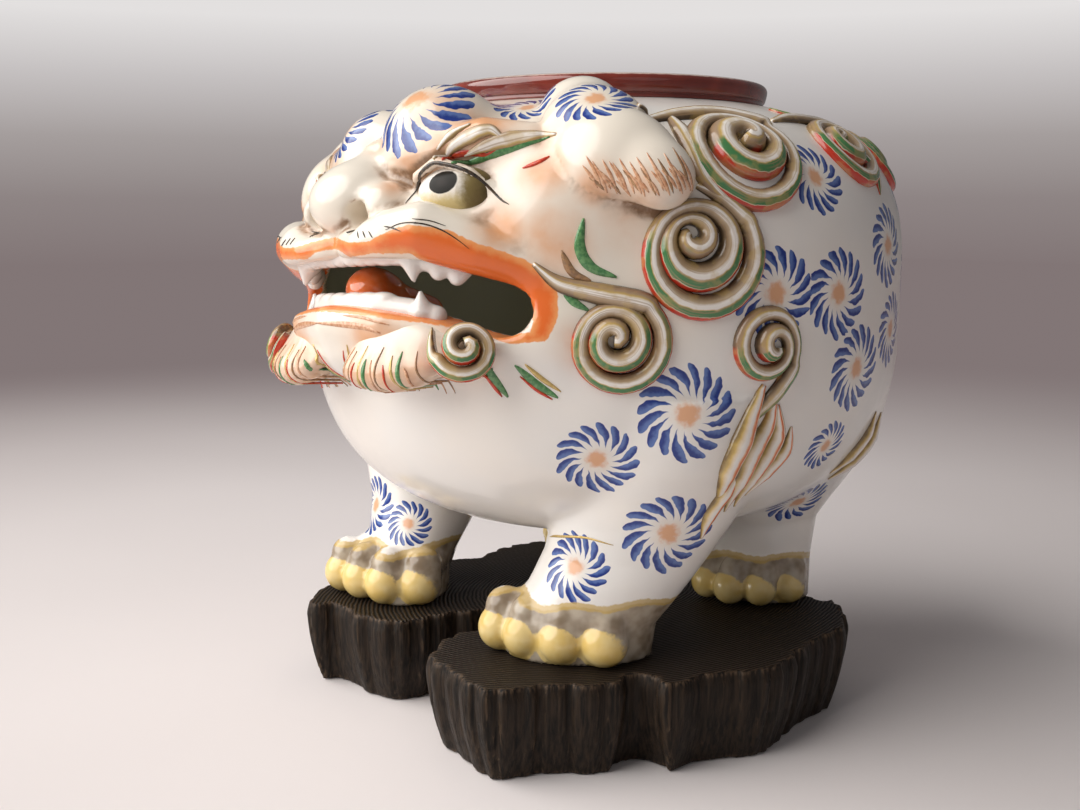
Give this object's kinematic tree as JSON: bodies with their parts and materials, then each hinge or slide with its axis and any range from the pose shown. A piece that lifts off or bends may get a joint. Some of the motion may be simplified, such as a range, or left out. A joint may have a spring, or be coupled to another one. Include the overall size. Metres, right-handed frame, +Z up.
{
  "type": "foo dog statue",
  "caption": "Hollow porcelain foo dog standing on four legs, open-mouthed, with a round collared opening in its back, on a separate carved wooden stand.",
  "frame": {"origin": "on the table under the centre of the vessel's round opening", "axes": "+Z up along the vessel's turning axis, the dog looks along -Y, and its own left side is +X"},
  "size_m": [0.239, 0.2635, 0.2285],
  "materials": {
    "white_glaze": "clear glaze over white porcelain with painted enamels",
    "red_glaze": "iron-red enamel, glossy",
    "orange_enamel": "orange enamel, glossy",
    "green_enamel": "striped green, red and gold enamels",
    "buff_glaze": "buff and gold washes over glaze",
    "gold_enamel": "gold, red and green enamel strokes",
    "dark_wood": "scorched and brushed, dark, satin"
  },
  "bodies": {
    "stand": {"wood_stand": "dark_wood"},
    "statue": {"pot_body": "white_glaze", "rim_collar": "red_glaze", "face_mask": "white_glaze", "lower_jaw": "white_glaze", "upper_teeth": "white_glaze", "lower_teeth": "white_glaze", "tongue": "orange_enamel", "eyeball_left": "white_glaze", "eyeball_right": "white_glaze", "brow_left": "buff_glaze", "brow_right": "buff_glaze", "ear_left": "white_glaze", "ear_right": "white_glaze", "foreleg_left": "white_glaze", "foreleg_right": "white_glaze", "hindleg_left": "white_glaze", "hindleg_right": "white_glaze", "mane_upper_left": "green_enamel", "mane_upper_right": "green_enamel", "mane_middle_left": "green_enamel", "mane_middle_right": "green_enamel", "mane_lower_left": "green_enamel", "mane_lower_right": "green_enamel", "mane_rear_left": "green_enamel", "mane_rear_right": "green_enamel", "shoulder_curl_left": "green_enamel", "shoulder_curl_right": "green_enamel", "beard_fringe": "gold_enamel", "beard_curl_left": "gold_enamel", "beard_curl_right": "gold_enamel", "foreleg_tuft_left": "gold_enamel", "foreleg_tuft_right": "gold_enamel", "hindleg_tuft_left": "gold_enamel", "hindleg_tuft_right": "gold_enamel", "tail": "gold_enamel"}
  },
  "joints": [
    {"name": "statue_lift", "type": "slide", "parent": "stand", "child": "statue", "axis": [0, 0, 1], "range_m": [0, 0.06]}
  ]
}
